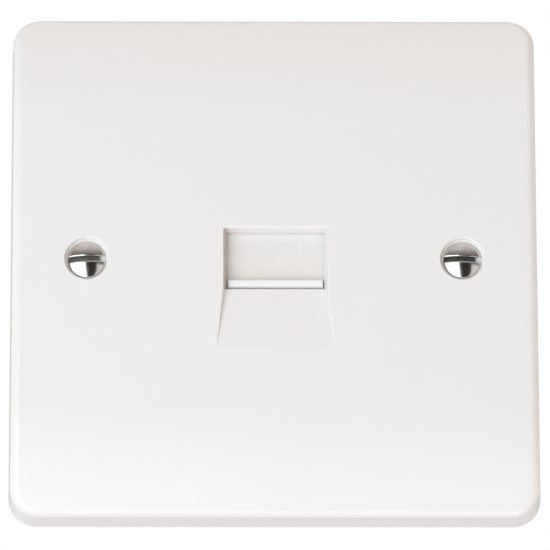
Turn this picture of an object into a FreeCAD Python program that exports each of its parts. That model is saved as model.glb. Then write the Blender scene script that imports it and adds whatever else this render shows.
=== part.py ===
import FreeCAD, Part
import math
import os

# Single flush telephone outlet on a square moulded plate, with a sprung shutter.
# Frame: origin at the centre of the plane that lies on the wall; the front faces -Y,
# +X is the viewer's right, +Z is up. Millimetres.
# Everything is drawn with the wall plane at y = WALL_Y, and the last step moves it to y = 0.

V = FreeCAD.Vector

# ---------------------------------------------------------------- plate
PLATE_SIDE = 85.1        # outside width and height at the rim
PLATE_CORNER = 4.6       # corner radius seen from the front
PLATE_PROJ = 7.9         # the face lies at y = -PLATE_PROJ in its flat middle
WALL_Y = 0.8             # wall plane while drawing: the face stands 8.7 in front of it
PLATE_DRAFT = 3.0        # draft of the outer walls, degrees
FLAT_HALF = 26.0         # the face is flat up to this height above and below the middle
ROLL_DROP = 2.9          # how far the face has rolled back at the start of the edge radius
ROLL_TO = 41.2           # height at which that drop is reached
EDGE_R = 1.4             # front edge radius
WALL_T = 2.4             # thickness of the front wall
SIDE_T = 2.3             # thickness of the side walls

# ---------------------------------------------------------------- fixing screws, M3.5
SCREW_PITCH = 60.3       # distance between the two fixing screws
SCREW_X = SCREW_PITCH / 2
SEAT_R = 3.5             # radius of the sunk seat
SEAT_DEPTH = 0.9         # depth of the straight part of the seat
HEAD_R = 3.12            # radius of the screw head
HEAD_RISE = 0.78         # height of the domed top above the head's rim
HEAD_RIM = 0.22          # straight rim of the head
HEAD_EDGE = 0.14         # rounding between dome and rim
RIM_SINK = 0.80          # rim's top below the face
NECK_R = 1.50            # plain neck, the rolled blank's radius
THREAD_R = 1.72          # thread's outer radius, free end
CLEAR_R = 2.05           # clearance hole in the plate
SCREW_TIP = 18.5         # y of the tip
SLOT_W = 0.95
SLOT_DEPTH = 1.15
BOSS_R = 4.9
BOSS_END = -1.7          # y of the boss's end

# ---------------------------------------------------------------- plug opening and ramp
OPEN_X = 0.16            # middle of the opening and the ramp, a little right of the plate's middle
OPEN_HALF = 7.80         # clear half width of the opening
FACE_HALF = 8.40         # half width at the face, across the bevelled sides
OPEN_TOP = 5.25
OPEN_BOT = -4.75
OPEN_TAPER = 0.08        # the ceiling comes down by this much at the back
BEVEL_DEPTH = 2.2        # depth at which the bevelled sides reach the clear width
RAMP_DEPTH = 1.2         # depth of the ramp at its top edge
RAMP_END = -15.2         # z at which the ramp runs out into the face
RAMP_HALF = 9.44         # half width at the end of the ramp
RAMP_NOSE_R = 0.25       # rounding of the ramp's top edge
TOP_R = 0.35             # rounding of the opening's top edge
LIP_R = 0.22             # small rounding of the screw seats' front edge
SIDE_R = 0.15            # rounding of the bevels' outer edges

# ---------------------------------------------------------------- shutter
SHUT_FRONT = -5.25       # y of its front face
SHUT_T = 1.3
SHUT_HALF = 8.6
SHUT_LOW = -5.9
SHUT_TOP = 6.9
SHUT_TRAVEL = 8.0
BAR_LOW, BAR_TOP = -4.36, -2.95
BAR_OUT = 1.05           # how far the lip stands out of the shutter's face
BAR_HALF = 7.63          # half width of the lip

# ---------------------------------------------------------------- shutter spring
SPRING_OD = 3.0
SPRING_WIRE = 0.38
SPRING_Y = -3.45
SPRING_TOP = 17.9

# ---------------------------------------------------------------- housing, board, terminals
CAV_HALF = 8.2
CAV_LOW, CAV_TOP = -4.9, 5.3
CAV_END = 8.6
HOUS_END = 9.8
FRAME_HALF = 12.6
FRAME_LOW, FRAME_TOP = -8.4, 19.6
POCKET_Y = -3.7          # bottom of the shutter's slot
LUG_X = 16.2             # module screws
LUG_Z = -2.0
BOARD_Y0, BOARD_Y1 = 10.4, 12.0
BOARD_X, BOARD_Z = 21.0, 12.5
STAKE_X = 11.2
CONTACT_PITCH = 1.9
CONTACT_W = 0.7
CONTACT_T = 0.45
TAIL_Z = 6.9
BLOCK_X0, BLOCK_X1 = 13.2, 20.6
BLOCK_Z = 10.8
BLOCK_END = 20.4
WAY_PITCH = 7.0
CLIP_T, CLIP_W = 0.6, 4.2


# ---------------------------------------------------------------- helpers
def box(x0, x1, y0, y1, z0, z1):
    return Part.makeBox(x1 - x0, y1 - y0, z1 - z0, V(x0, y0, z0))


def cyl_y(x, z, r, y0, y1):
    return Part.makeCylinder(r, y1 - y0, V(x, y0, z), V(0, 1, 0))


def cyl_z(x, y, r, z0, z1):
    return Part.makeCylinder(r, z1 - z0, V(x, y, z0), V(0, 0, 1))


def quad(a, b, c, d):
    return Part.Face(Part.makePolygon([a, b, c, d, a]))


def hexahedron(r0, y0, r1, y1):
    """Solid between two rectangles, each (x0, x1, z0, z1), at y0 and y1."""
    if y0 > y1:
        r0, y0, r1, y1 = r1, y1, r0, y0

    def ring(r, y):
        x0, x1, z0, z1 = r
        return [V(x0, y, z0), V(x1, y, z0), V(x1, y, z1), V(x0, y, z1)]

    a, b = ring(r0, y0), ring(r1, y1)
    faces = [quad(*a), quad(*b[::-1])]
    faces += [quad(a[i], b[i], b[(i + 1) % 4], a[(i + 1) % 4]) for i in range(4)]
    shell = Part.Shell(faces)
    shell.sewShape()
    return Part.Solid(shell)


def drafted_slab(half, inset, corner, y0, y1):
    """Square slab, drafted inwards by inset from y0 to y1, with rounded upright corners."""
    s = hexahedron((-half, half, -half, half), y0, (-half + inset, half - inset, -half + inset, half - inset), y1)
    up = [e for e in s.Edges if e.BoundBox.YLength > 0.5 * abs(y1 - y0)]
    return s.makeFillet(corner, up)


def slab_section(face_y, roll_r, reach_z, back_y, half_x):
    """Solid between the rolled face and a plane behind it: flat middle, an arc above and below."""
    run = reach_z - FLAT_HALF
    a1 = math.asin(run / roll_r)
    a2 = a1 / 2

    def on(a):
        return FLAT_HALF + roll_r * math.sin(a), face_y + roll_r * (1 - math.cos(a))

    z1, y1 = on(a1)
    z2, y2 = on(a2)
    e = [
        Part.makeLine(V(-half_x, face_y, -FLAT_HALF), V(-half_x, face_y, FLAT_HALF)),
        Part.Arc(V(-half_x, face_y, FLAT_HALF), V(-half_x, y2, z2), V(-half_x, y1, z1)).toShape(),
        Part.makeLine(V(-half_x, y1, z1), V(-half_x, back_y, z1)),
        Part.makeLine(V(-half_x, back_y, z1), V(-half_x, back_y, -z1)),
        Part.makeLine(V(-half_x, back_y, -z1), V(-half_x, y1, -z1)),
        Part.Arc(V(-half_x, y1, -z1), V(-half_x, y2, -z2), V(-half_x, face_y, -FLAT_HALF)).toShape(),
    ]
    return Part.Face(Part.Wire(e)).extrude(V(2 * half_x, 0, 0))


def profile_yz(points, x0, x1):
    """Solid from a closed polygon of (y, z) points, between x0 and x1."""
    w = Part.makePolygon([V(x0, y, z) for y, z in points + points[:1]])
    return Part.Face(w).extrude(V(x1 - x0, 0, 0))


def one(shape, name):
    shape = shape.removeSplitter()
    if len(shape.Solids) != 1:
        raise ValueError("%s has %d solids" % (name, len(shape.Solids)))
    s = shape.Solids[0]
    if not s.isValid():
        raise ValueError("%s is not valid" % name)
    return s


def try_fillet(shape, radius, edges, name):
    try:
        out = shape.makeFillet(radius, edges)
        if out.isValid() and len(out.Solids) == 1:
            return out
    except Exception as err:
        print("fillet", name, "left out:", err)
        return shape
    print("fillet", name, "left out: not valid")
    return shape


# ================================================================ faceplate
roll_run = ROLL_TO - FLAT_HALF
ROLL_R = (roll_run ** 2 + ROLL_DROP ** 2) / (2 * ROLL_DROP)
half = PLATE_SIDE / 2
lean = math.tan(math.radians(PLATE_DRAFT))
top_y = -(PLATE_PROJ + 1.5)
inset = (PLATE_PROJ + 1.5 + WALL_Y) * lean
outer = drafted_slab(half, inset, PLATE_CORNER, WALL_Y, top_y)
body = slab_section(-PLATE_PROJ, ROLL_R, half + 3, WALL_Y + 1.0, half + 3)
plate = outer.common(body).removeSplitter()


def front_rim_edges(s):
    out = []
    for e in s.Edges:
        c = e.CenterOfMass
        pts = [e.valueAt(e.FirstParameter + (e.LastParameter - e.FirstParameter) * t) for t in (0.0, 0.25, 0.5, 0.75, 1.0)]
        if any(p.y > -3.5 for p in pts):
            continue
        if all(max(abs(p.x), abs(p.z)) > half - 6.0 for p in pts) and (
            max(abs(c.x), abs(c.z)) > half - 2.5
        ):
            # the seams that run across the face have their middle at x = 0
            if abs(c.x) < 0.01 and abs(abs(c.z) - FLAT_HALF) < 0.5:
                continue
            out.append(e)
    return out


plate = try_fillet(plate, EDGE_R, front_rim_edges(plate), "plate edge")
plate = try_fillet(
    plate,
    0.25,
    [e for e in plate.Edges if abs(e.CenterOfMass.y - WALL_Y) < 1e-6 and abs(e.BoundBox.YLength) < 1e-6],
    "rim edge",
)

# hollow behind the face
in_half = half - SIDE_T
in_top = -(PLATE_PROJ + 1.5)
in_inset = (PLATE_PROJ + 2.5 + WALL_Y) * math.tan(math.radians(2.0))
inner = drafted_slab(in_half, in_inset, PLATE_CORNER - SIDE_T, WALL_Y + 1.0, in_top)
hollow = slab_section(-PLATE_PROJ + WALL_T, ROLL_R - WALL_T, half + 3, 2.0, half + 3)
hollow = inner.common(hollow)
plate = plate.cut(hollow)

# posts and ribs behind the face
inside_y = -PLATE_PROJ + WALL_T
adds = []
for s in (-1, 1):
    adds.append(cyl_y(s * SCREW_X, 0, BOSS_R, inside_y - 0.6, BOSS_END))
    adds.append(cyl_y(s * LUG_X, LUG_Z, 3.0, inside_y - 0.6, -1.0))
    xa, xb = sorted((s * (SCREW_X + BOSS_R - 0.5), s * (in_half + 0.6)))
    adds.append(box(xa, xb, inside_y - 0.6, -2.2, -0.7, 0.7))
    xa, xb = sorted((s * (LUG_X + 2.6), s * (SCREW_X - BOSS_R + 0.5)))
    adds.append(box(xa, xb, inside_y - 0.6, -2.2, -0.7, 0.7))
    # ribs that locate the housing's frame
    xa, xb = sorted((s * (FRAME_HALF + 0.15), s * (FRAME_HALF + 1.15)))
    adds.append(box(xa, xb, inside_y - 0.6, -3.9, 3.0, 17.5))
    xa, xb = sorted((s * 3.0, s * 9.0))
    adds.append(box(xa, xb, inside_y - 0.6, -3.9, FRAME_LOW - 1.15, FRAME_LOW - 0.15))
    adds.append(box(xa, xb, inside_y - 0.6, -3.9, FRAME_TOP + 0.15, FRAME_TOP + 1.15))
for a in adds:
    plate = plate.fuse(a)
plate = plate.removeSplitter()

# screw seats: a straight recess, a flat shoulder, a 90 degree seat and a clearance hole
CONE_R0 = HEAD_R + 0.03
CONE_Y0 = -PLATE_PROJ + RIM_SINK + HEAD_RIM      # y of the head's rim foot, where the cone starts
for s in (-1, 1):
    x = s * SCREW_X
    plate = plate.cut(cyl_y(x, 0, SEAT_R, -PLATE_PROJ - 1, -PLATE_PROJ + SEAT_DEPTH))
    depth = CONE_R0 - CLEAR_R
    cone = Part.makeCone(CONE_R0, CLEAR_R, depth, V(x, CONE_Y0, 0), V(0, 1, 0))
    rim = cyl_y(x, 0, CONE_R0, -PLATE_PROJ, CONE_Y0)
    plate = plate.cut(rim).cut(cone).cut(cyl_y(x, 0, CLEAR_R, CONE_Y0, 1))
    # blind hole for the module screw
    plate = plate.cut(cyl_y(s * LUG_X, LUG_Z, 1.02, -6.4, 0))

# plug opening: straight behind the bevels
back = -PLATE_PROJ + WALL_T + 0.5
opening = hexahedron(
    (OPEN_X - OPEN_HALF, OPEN_X + OPEN_HALF, OPEN_BOT, OPEN_TOP),
    -PLATE_PROJ - 0.5,
    (OPEN_X - OPEN_HALF, OPEN_X + OPEN_HALF, OPEN_BOT, OPEN_TOP - OPEN_TAPER),
    back,
)
bevel_in = (FACE_HALF - OPEN_HALF) / BEVEL_DEPTH         # how fast the bevels close in with depth
out_y = -PLATE_PROJ - 0.6
foot_y = -PLATE_PROJ + RAMP_DEPTH
wide = FACE_HALF + 0.6 * bevel_in
bevels = hexahedron(
    (OPEN_X - wide, OPEN_X + wide, OPEN_BOT, OPEN_TOP),
    out_y,
    (OPEN_X - OPEN_HALF, OPEN_X + OPEN_HALF, OPEN_BOT, OPEN_TOP),
    -PLATE_PROJ + BEVEL_DEPTH,
)

# ramp: its floor climbs from the opening's foot to the face, its top edge is rounded over into
# the opening, and its sides go on from the bevels and flare
slope = RAMP_DEPTH / (OPEN_BOT - RAMP_END)
ux, uz = slope / math.hypot(slope, 1), 1 / math.hypot(slope, 1)      # up the floor, (y, z)
r = RAMP_NOSE_R
turn = math.pi / 2 - math.atan(slope)
t = r * math.tan(turn / 2)
p1 = (foot_y - ux * t, OPEN_BOT - uz * t)
p2 = (foot_y + t, OPEN_BOT)
cen = (p1[0] + uz * r, p1[1] - ux * r)
aim = ((p1[0] + p2[0]) / 2 - cen[0], (p1[1] + p2[1]) / 2 - cen[1])
k = r / math.hypot(*aim)
pm = (cen[0] + aim[0] * k, cen[1] + aim[1] * k)
p0 = (out_y, RAMP_END - 0.6 / slope)


def at(q):
    return V(-20, q[0], q[1])


floor = Part.Face(
    Part.Wire(
        [
            Part.makeLine(at(p0), at(p1)),
            Part.Arc(at(p1), at(pm), at(p2)).toShape(),
            Part.makeLine(at(p2), at((out_y, OPEN_BOT))),
            Part.makeLine(at((out_y, OPEN_BOT)), at(p0)),
        ]
    )
).extrude(V(40, 0, 0))
side_flare = (RAMP_HALF - FACE_HALF) / (OPEN_BOT - RAMP_END)


def side_at(y, z):
    return FACE_HALF - bevel_in * (y + PLATE_PROJ) + side_flare * (OPEN_BOT - z)


y0, y1, z0, z1 = out_y - 0.2, p2[0] + 0.2, RAMP_END - 12, OPEN_BOT + 0.2
ring = []
for y in (y0, y1):
    ring.append([V(OPEN_X + k * side_at(y, z), y, z) for k, z in ((-1, z0), (1, z0), (1, z1), (-1, z1))])
a, b = ring
shell = Part.Shell([quad(*a), quad(*b[::-1])] + [quad(a[i], b[i], b[(i + 1) % 4], a[(i + 1) % 4]) for i in range(4)])
shell.sewShape()
between = Part.Solid(shell)
if between.Volume < 0:
    between.reverse()
ramp = floor.common(between)
plate = plate.cut(opening).cut(bevels).cut(ramp)
plate = plate.removeSplitter()


def edges_where(shape, test):
    return [e for e in shape.Edges if test(e, e.BoundBox, e.CenterOfMass)]


# small roundings: opening's top edge, screw seats, bevels' outer edges
plate = try_fillet(
    plate,
    TOP_R,
    edges_where(plate, lambda e, b, c: abs(c.y + PLATE_PROJ) < 0.01 and abs(c.z - OPEN_TOP) < 0.01 and b.XLength > 10),
    "opening top",
)
plate = try_fillet(
    plate,
    LIP_R,
    edges_where(
        plate,
        lambda e, b, c: b.YLength < 0.01 and abs(b.YMin + PLATE_PROJ) < 0.01 and abs(abs(c.x) - SCREW_X) < 0.1 and abs(b.XLength - 2 * SEAT_R) < 0.1,
    ),
    "screw seats",
)
for s in (-1, 1):
    plate = try_fillet(
        plate,
        SIDE_R,
        edges_where(
            plate,
            lambda e, b, c: abs(c.y + PLATE_PROJ) < 0.01 and b.YLength < 0.01 and s * (c.x - OPEN_X) > FACE_HALF - 0.1
            and abs(c.x) < RAMP_HALF + 0.5 and RAMP_END - 0.1 < c.z < OPEN_TOP + 0.1 and b.ZLength > 2,
        ),
        "bevel edge %d" % s,
    )
faceplate = one(plate, "faceplate")

# ================================================================ fixing screws
def raised_screw(x, turn):
    rim_y = -PLATE_PROJ + RIM_SINK
    foot_y = rim_y + HEAD_RIM
    neck_y = foot_y + (HEAD_R - NECK_R)
    thread_y = -1.2
    # dome through the rim circle and the crown
    R = (HEAD_R ** 2 + HEAD_RISE ** 2) / (2 * HEAD_RISE)
    am = math.asin(HEAD_R / R) / 2
    crown = rim_y - HEAD_RISE
    centre = crown + R
    mid = V(R * math.sin(am), centre - R * math.cos(am), 0)
    e = [
        Part.Arc(V(0, crown, 0), mid, V(HEAD_R, rim_y, 0)).toShape(),
        Part.makeLine(V(HEAD_R, rim_y, 0), V(HEAD_R, foot_y, 0)),
        Part.makeLine(V(HEAD_R, foot_y, 0), V(NECK_R, neck_y, 0)),
        Part.makeLine(V(NECK_R, neck_y, 0), V(NECK_R, thread_y, 0)),
        Part.makeLine(V(NECK_R, thread_y, 0), V(THREAD_R, thread_y + 0.17, 0)),
        Part.makeLine(V(THREAD_R, thread_y + 0.17, 0), V(THREAD_R, SCREW_TIP - 0.7, 0)),
        Part.makeLine(V(THREAD_R, SCREW_TIP - 0.7, 0), V(THREAD_R - 0.6, SCREW_TIP, 0)),
        Part.makeLine(V(THREAD_R - 0.6, SCREW_TIP, 0), V(0, SCREW_TIP, 0)),
        Part.makeLine(V(0, SCREW_TIP, 0), V(0, crown, 0)),
    ]
    s = Part.Face(Part.Wire(e)).revolve(V(0, 0, 0), V(0, 1, 0), 360)
    s = s if s.Volume > 0 else s.reversed()
    s = try_fillet(
        s,
        HEAD_EDGE,
        [e for e in s.Edges if abs(e.CenterOfMass.y - rim_y) < 1e-6 and abs(e.BoundBox.YLength) < 1e-6],
        "head edge",
    )
    slot = box(-4, 4, crown - 1, crown + SLOT_DEPTH, -SLOT_W / 2, SLOT_W / 2)
    slot.rotate(V(0, 0, 0), V(0, 1, 0), turn)
    s = s.cut(slot)
    s.translate(V(x, 0, 0))
    return s


fixing_screw_left = one(raised_screw(-SCREW_X, -2.0), "fixing_screw_left")
fixing_screw_right = one(raised_screw(SCREW_X, 1.5), "fixing_screw_right")

# ================================================================ shutter
sh_back = SHUT_FRONT + SHUT_T
shutter = box(-SHUT_HALF, SHUT_HALF, SHUT_FRONT, sh_back, SHUT_LOW, SHUT_TOP)
# lip along the foot: rounded nose that faces down and forward, rounded ends


def rounded(points, radii, to_vec):
    """Closed wire through the points, each corner rounded by its radius (0 leaves it sharp)."""
    n = len(points)
    cut = []
    for i in range(n):
        p, a, b = points[i], points[i - 1], points[(i + 1) % n]
        r = radii[i]
        da, db = (a[0] - p[0], a[1] - p[1]), (b[0] - p[0], b[1] - p[1])
        la, lb = math.hypot(*da), math.hypot(*db)
        ua, ub = (da[0] / la, da[1] / la), (db[0] / lb, db[1] / lb)
        half_angle = math.acos(ua[0] * ub[0] + ua[1] * ub[1]) / 2
        t = r / math.tan(half_angle)
        q0 = (p[0] + ua[0] * t, p[1] + ua[1] * t)
        q1 = (p[0] + ub[0] * t, p[1] + ub[1] * t)
        mx, my = ua[0] + ub[0], ua[1] + ub[1]
        lm = math.hypot(mx, my)
        far = r / math.sin(half_angle)
        mid = (p[0] + mx / lm * (far - r), p[1] + my / lm * (far - r))
        cut.append((q0, mid, q1, r))
    edges = []
    for i in range(n):
        q0, mid, q1, r = cut[i]
        if r > 0:
            edges.append(Part.Arc(to_vec(q0), to_vec(mid), to_vec(q1)).toShape())
        nxt = cut[(i + 1) % n][0]
        edges.append(Part.makeLine(to_vec(q1), to_vec(nxt)))
    return Part.Wire(edges)


nose_y, root_y = SHUT_FRONT - BAR_OUT, SHUT_FRONT + 0.3
lip_side = rounded([(nose_y, BAR_LOW), (root_y, BAR_LOW), (root_y, BAR_TOP), (nose_y, BAR_TOP)], [0.62, 0, 0, 0.5], lambda q: V(-20, q[0], q[1]))
x0, x1 = OPEN_X - BAR_HALF, OPEN_X + BAR_HALF
lip_plan = rounded([(x0, nose_y), (x1, nose_y), (x1, root_y), (x0, root_y)], [0.3, 0.3, 0, 0], lambda q: V(q[0], q[1], -10))
lip = Part.Face(lip_side).extrude(V(40, 0, 0)).common(Part.Face(lip_plan).extrude(V(0, 0, 20)))
shutter = shutter.fuse(lip)
# seat and peg for the spring
shutter = shutter.fuse(box(-1.9, 1.9, sh_back - 0.2, -2.1, 5.5, SHUT_TOP))
shutter = shutter.fuse(cyl_z(0, SPRING_Y, 0.85, SHUT_TOP - 0.2, SHUT_TOP + 1.4))
shutter = one(shutter, "shutter")

# ================================================================ spring: a closed sleeve of the coil's size
spring = cyl_z(0, SPRING_Y, SPRING_OD / 2, SHUT_TOP + 0.03, SPRING_TOP - 0.03).cut(
    cyl_z(0, SPRING_Y, SPRING_OD / 2 - SPRING_WIRE, SHUT_TOP - 1, SPRING_TOP + 1)
)
shutter_spring = one(spring, "shutter_spring")

# ================================================================ housing behind the opening
frame_front = -PLATE_PROJ + WALL_T               # lies on the back of the plate's front wall
h = box(-FRAME_HALF, FRAME_HALF, frame_front, -1.8, FRAME_LOW, FRAME_TOP)
h = h.fuse(box(-9.7, 9.7, -3.0, HOUS_END, CAV_LOW - 1.5, 8.4))
h = h.fuse(box(-3.8, 3.8, -2.0, -0.3, 8.2, FRAME_TOP))       # back of the spring channel
for s in (-1, 1):
    xa, xb = sorted((s * 9.5, s * (LUG_X + 3.2)))
    h = h.fuse(box(xa, xb, -1.0, 1.3, LUG_Z - 3.2, LUG_Z + 3.2))      # screw lug
    xa, xb = sorted((s * 9.5, s * (STAKE_X + 1.9)))
    h = h.fuse(box(xa, xb, 7.2, BOARD_Y0, -2.4, 2.4))                 # rest for the board
    h = h.fuse(cyl_y(s * STAKE_X, 0, 1.2, BOARD_Y0 - 0.5, BOARD_Y1 + 0.3))
    h = h.fuse(cyl_y(s * STAKE_X, 0, 1.9, BOARD_Y1 + 0.02, BOARD_Y1 + 0.7))
# slot for the shutter, plug cavity, roof pocket, spring channel
h = h.cut(box(-SHUT_HALF - 0.3, SHUT_HALF + 0.3, frame_front - 1, POCKET_Y, SHUT_LOW - 0.05, SHUT_TOP + SHUT_TRAVEL + 0.4))
h = h.cut(box(-CAV_HALF, CAV_HALF, -4.5, CAV_END, CAV_LOW, CAV_TOP))
h = h.cut(box(-7.0, 7.0, -1.0, HOUS_END + 1, CAV_TOP - 0.1, 9))
h = h.cut(box(-2.15, 2.15, frame_front - 1, -1.75, CAV_TOP - 0.1, SPRING_TOP))
h = h.fuse(cyl_z(0, SPRING_Y, 0.85, SPRING_TOP - 1.15, SPRING_TOP + 0.3))
for s in (-1, 1):
    h = h.cut(cyl_y(s * LUG_X, LUG_Z, 1.45, -2, 2))
jack_housing = one(h, "jack_housing")

# ================================================================ contacts and their carrier
def contact(x):
    """Formed strip: tail through the board, over the carrier, back down into the cavity."""
    line = [
        (BOARD_Y1 + 0.9, TAIL_Z),
        (1.3, TAIL_Z),
        (0.55, TAIL_Z - 0.35),
        (0.05, TAIL_Z - 1.15),
        (0.25, TAIL_Z - 2.1),
        (0.95, TAIL_Z - 2.75),
        (6.6, 1.75),
        (7.3, 1.75),
        (8.0, 2.45),
    ]
    t = CONTACT_T / 2
    left, right = [], []
    n = len(line)
    for i, (y, z) in enumerate(line):
        if i == 0:
            d0 = d1 = (line[1][0] - y, line[1][1] - z)
        elif i == n - 1:
            d0 = d1 = (y - line[i - 1][0], z - line[i - 1][1])
        else:
            d0 = (y - line[i - 1][0], z - line[i - 1][1])
            d1 = (line[i + 1][0] - y, line[i + 1][1] - z)
        l0, l1 = math.hypot(*d0), math.hypot(*d1)
        n0 = (-d0[1] / l0, d0[0] / l0)
        n1 = (-d1[1] / l1, d1[0] / l1)
        m = (n0[0] + n1[0], n0[1] + n1[1])
        k = t / (0.5 * (m[0] ** 2 + m[1] ** 2))
        left.append((y + m[0] * k, z + m[1] * k))
        right.append((y - m[0] * k, z - m[1] * k))
    return profile_yz(left + right[::-1], x - CONTACT_W / 2, x + CONTACT_W / 2)


contact_x = [CONTACT_PITCH * (i - 2.5) for i in range(6)]
contacts = [one(contact(x), "contact") for x in contact_x]

carrier = box(-6.95, 6.95, 1.9, HOUS_END - 0.1, CAV_TOP + 0.05, 8.35)
for x in contact_x:
    carrier = carrier.cut(
        box(x - CONTACT_W / 2, x + CONTACT_W / 2, 1, HOUS_END + 1, TAIL_Z - CONTACT_T / 2, TAIL_Z + CONTACT_T / 2)
    )
contact_carrier = one(carrier, "contact_carrier")

# ================================================================ circuit board
b = box(-BOARD_X, BOARD_X, BOARD_Y0, BOARD_Y1, -BOARD_Z, BOARD_Z)
b = try_fillet(b, 1.5, [e for e in b.Edges if e.BoundBox.YLength > 1 and e.BoundBox.XLength < 0.01], "board corners")
for s in (-1, 1):
    b = b.cut(cyl_y(s * STAKE_X, 0, 1.25, 9, 14))
for x in contact_x:
    b = b.cut(cyl_y(x, TAIL_Z, 0.5, 9, 14))
clip_x = (BLOCK_X0 + BLOCK_X1) / 2
clips_at = [(-clip_x, WAY_PITCH), (-clip_x, 0), (-clip_x, -WAY_PITCH), (clip_x, WAY_PITCH), (clip_x, 0), (clip_x, -WAY_PITCH)]
for x, z in clips_at:
    b = b.cut(cyl_y(x, z, 0.6, 9, 14))
circuit_board = one(b, "circuit_board")

# ================================================================ terminal clips and blocks
def clip(x, z):
    c = box(x - CLIP_T / 2, x + CLIP_T / 2, BOARD_Y1 + 0.02, BLOCK_END - 1.9, z - CLIP_W / 2, z + CLIP_W / 2)
    # forked top that grips the wire, with a flared mouth
    c = c.cut(box(x - 1, x + 1, 14.2, BLOCK_END, z - 0.2, z + 0.2))
    y1 = BLOCK_END - 1.9
    c = c.cut(profile_yz([(y1 + 0.1, z - 1.0), (y1 + 0.1, z + 1.0), (y1 - 1.1, z)], x - 1, x + 1))
    c = c.fuse(box(x - CLIP_T / 2, x + CLIP_T / 2, BOARD_Y0 - 0.6, BOARD_Y1 + 0.1, z - 0.4, z + 0.4))
    return c


terminal_clips = [one(clip(x, z), "clip") for x, z in clips_at]


def block(s):
    xa, xb = sorted((s * BLOCK_X0, s * BLOCK_X1))
    k = box(xa, xb, BOARD_Y1, BLOCK_END, -BLOCK_Z, BLOCK_Z)
    k = try_fillet(k, 0.6, [e for e in k.Edges if e.BoundBox.YLength > 5], "block corners")
    xm = (xa + xb) / 2
    for w in (-1, 0, 1):
        z = w * WAY_PITCH
        k = k.cut(box(xa - 1, xb + 1, 14.6, BLOCK_END + 1, z - 0.75, z + 0.75))          # wire slot
        mouth = [(BLOCK_END + 0.1, z - 1.55), (BLOCK_END + 0.1, z + 1.55), (BLOCK_END - 1.5, z)]
        k = k.cut(profile_yz(mouth, xa - 1, xb + 1))
        k = k.cut(box(xm - CLIP_T / 2 - 0.1, xm + CLIP_T / 2 + 0.1, BOARD_Y1 - 1, BLOCK_END + 1, z - CLIP_W / 2 - 0.15, z + CLIP_W / 2 + 0.15))
    # gaps between the ways
    for z in (-WAY_PITCH / 2, WAY_PITCH / 2):
        k = k.cut(box(xa - 1, xb + 1, 16.4, BLOCK_END + 1, z - 0.35, z + 0.35))
    return k


terminal_block_left = one(block(-1), "terminal_block_left")
terminal_block_right = one(block(1), "terminal_block_right")

# ================================================================ module screws: pan head, cross recess
def module_screw(x, z):
    y = 1.3
    s = cyl_y(x, z, 2.4, y + 0.01, y + 1.6)
    s = try_fillet(s, 0.7, [e for e in s.Edges if abs(e.CenterOfMass.y - (y + 1.6)) < 1e-6], "pan head")
    s = s.fuse(cyl_y(x, z, 1.0, -6.2, y + 0.2))
    s = s.cut(box(x - 1.3, x + 1.3, y + 0.7, y + 3, z - 0.28, z + 0.28))
    s = s.cut(box(x - 0.28, x + 0.28, y + 0.7, y + 3, z - 1.3, z + 1.3))
    return s


module_screw_left = one(module_screw(-LUG_X, LUG_Z), "module_screw_left")
module_screw_right = one(module_screw(LUG_X, LUG_Z), "module_screw_right")

# ================================================================ write
nodes = {
    "faceplate": faceplate,
    "fixing_screw_left": fixing_screw_left,
    "fixing_screw_right": fixing_screw_right,
    "shutter": shutter,
    "shutter_spring": shutter_spring,
    "jack_housing": jack_housing,
    "contact_carrier": contact_carrier,
    "circuit_board": circuit_board,
    "terminal_block_left": terminal_block_left,
    "terminal_block_right": terminal_block_right,
    "module_screw_left": module_screw_left,
    "module_screw_right": module_screw_right,
}
for i in range(6):
    nodes["contact_%d" % (i + 1)] = contacts[i]
    nodes["terminal_clip_%d" % (i + 1)] = terminal_clips[i]

os.makedirs("parts", exist_ok=True)
for name, shape in nodes.items():
    shape.translate(V(0, -WALL_Y, 0))
    shape.exportStep("parts/%s.step" % name)
    bb = shape.BoundBox
    print("%-22s %9.2f mm3  x %.2f %.2f  y %.2f %.2f  z %.2f %.2f" % (name, shape.Volume, bb.XMin, bb.XMax, bb.YMin, bb.YMax, bb.ZMin, bb.ZMax))
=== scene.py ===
"""Looks of the single flush telephone outlet: surfaces, small fittings, light and camera.

Metres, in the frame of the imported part: the front faces -Y, +Z is up, the wall plane is y = 0.
"""

import math

import bmesh
import bpy
import numpy as np
from mathutils import Matrix, Vector


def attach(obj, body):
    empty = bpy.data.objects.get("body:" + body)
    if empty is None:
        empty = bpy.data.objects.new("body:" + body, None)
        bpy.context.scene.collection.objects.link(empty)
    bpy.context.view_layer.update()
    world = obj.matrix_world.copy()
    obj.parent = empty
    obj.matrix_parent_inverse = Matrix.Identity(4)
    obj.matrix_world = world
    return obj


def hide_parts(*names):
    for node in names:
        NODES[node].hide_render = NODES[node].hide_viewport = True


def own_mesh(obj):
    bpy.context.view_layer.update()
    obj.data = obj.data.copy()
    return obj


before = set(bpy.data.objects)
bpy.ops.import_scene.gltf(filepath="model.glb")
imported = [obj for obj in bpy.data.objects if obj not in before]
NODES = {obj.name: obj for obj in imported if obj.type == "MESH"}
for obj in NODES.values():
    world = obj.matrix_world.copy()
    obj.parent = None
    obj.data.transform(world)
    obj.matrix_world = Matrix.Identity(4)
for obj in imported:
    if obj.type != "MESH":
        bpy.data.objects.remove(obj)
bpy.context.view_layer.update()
MM = 0.001

scene = bpy.context.scene
scene.view_settings.view_transform = "Standard"
scene.view_settings.look = "None"
scene.view_settings.exposure = 0.0
scene.view_settings.gamma = 1.0


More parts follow.
